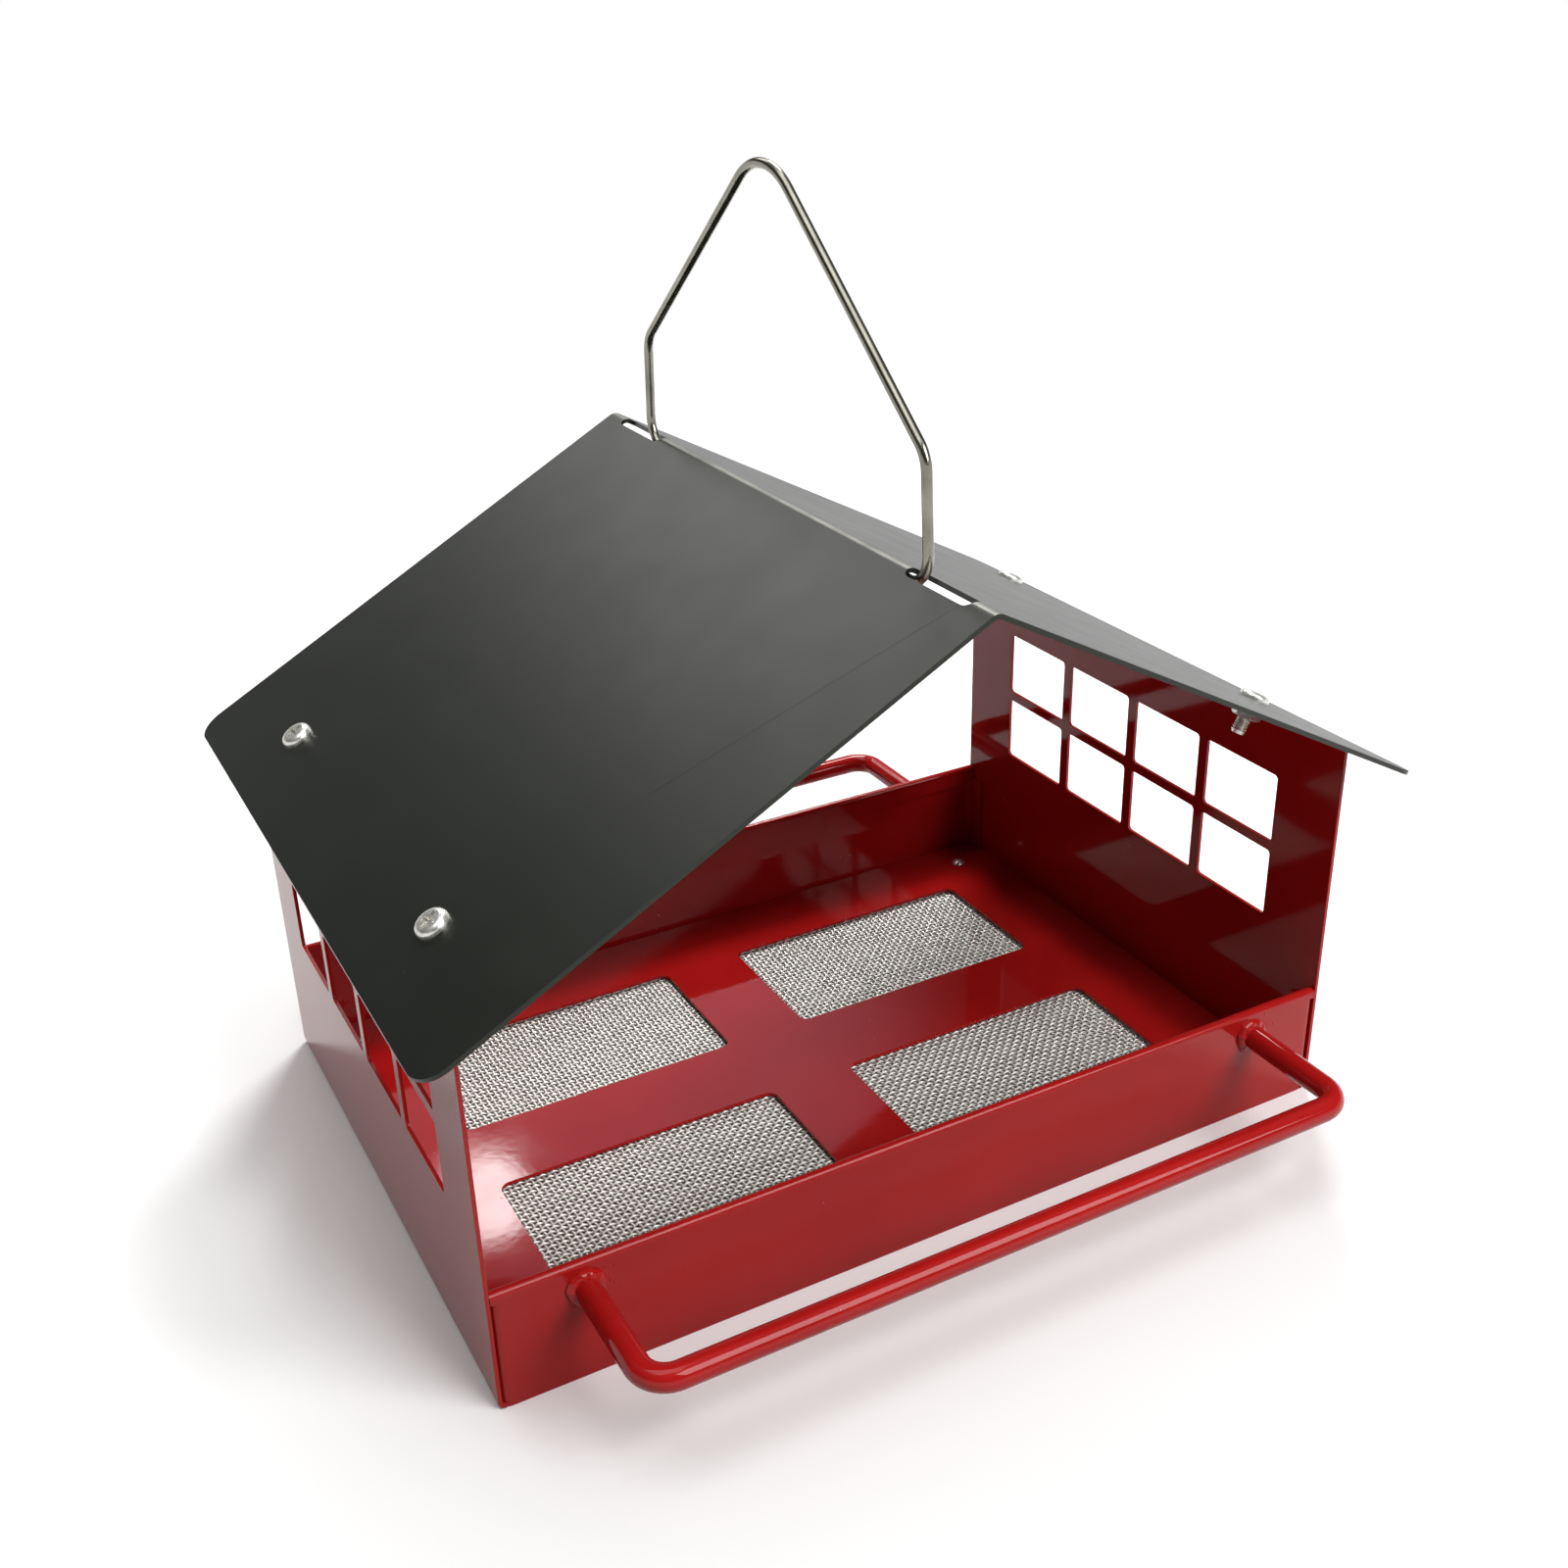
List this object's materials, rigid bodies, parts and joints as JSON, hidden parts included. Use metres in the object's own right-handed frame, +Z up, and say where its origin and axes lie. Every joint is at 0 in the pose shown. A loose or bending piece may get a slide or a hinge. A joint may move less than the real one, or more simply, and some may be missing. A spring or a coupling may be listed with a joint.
{
  "type": "platform bird feeder",
  "caption": "House-shaped hanging platform bird feeder: a shallow red tray with a mesh floor, windowed end walls, a black saddle roof, a wire hanger and bent rod perches.",
  "frame": {"origin": "middle of the feeder's base, on the surface that it stands on", "axes": "+Z up, +X along the perches towards the right end wall, +Y from the front to the back, along the ridge"},
  "size_m": [0.2624, 0.2432, 0.2502],
  "materials": {
    "red_enamel": "gloss",
    "black_powder_coat": "satin powder coat",
    "zinc_steel": "bright zinc plating",
    "hanger_wire": "bright drawn wire",
    "mesh_wire": "woven wire"
  },
  "bodies": {
    "feeder": {"end_wall_left": "red_enamel", "end_wall_right": "red_enamel", "front_wall": "red_enamel", "back_wall": "red_enamel", "floor_plate": "red_enamel", "mesh_screen": "mesh_wire", "roof": "black_powder_coat", "front_perch": "red_enamel", "back_perch": "red_enamel", "floor_rivet_front_left": "zinc_steel", "perch_weld_front_left": "red_enamel", "roof_screw_front_left": "zinc_steel", "roof_nut_front_left": "zinc_steel", "floor_rivet_front_right": "zinc_steel", "perch_weld_front_right": "red_enamel", "roof_screw_front_right": "zinc_steel", "roof_nut_front_right": "zinc_steel", "floor_rivet_back_left": "zinc_steel", "perch_weld_back_left": "red_enamel", "roof_screw_back_left": "zinc_steel", "roof_nut_back_left": "zinc_steel", "floor_rivet_back_right": "zinc_steel", "perch_weld_back_right": "red_enamel", "roof_screw_back_right": "zinc_steel", "roof_nut_back_right": "zinc_steel"},
    "hanger": {"hanger": "hanger_wire"}
  },
  "joints": [
    {"name": "hanger_swing", "type": "hinge", "parent": "feeder", "child": "hanger", "pos_m": [0, 0, 0.16776], "axis": [0, 1, 0], "range_deg": [-15, 15]}
  ]
}
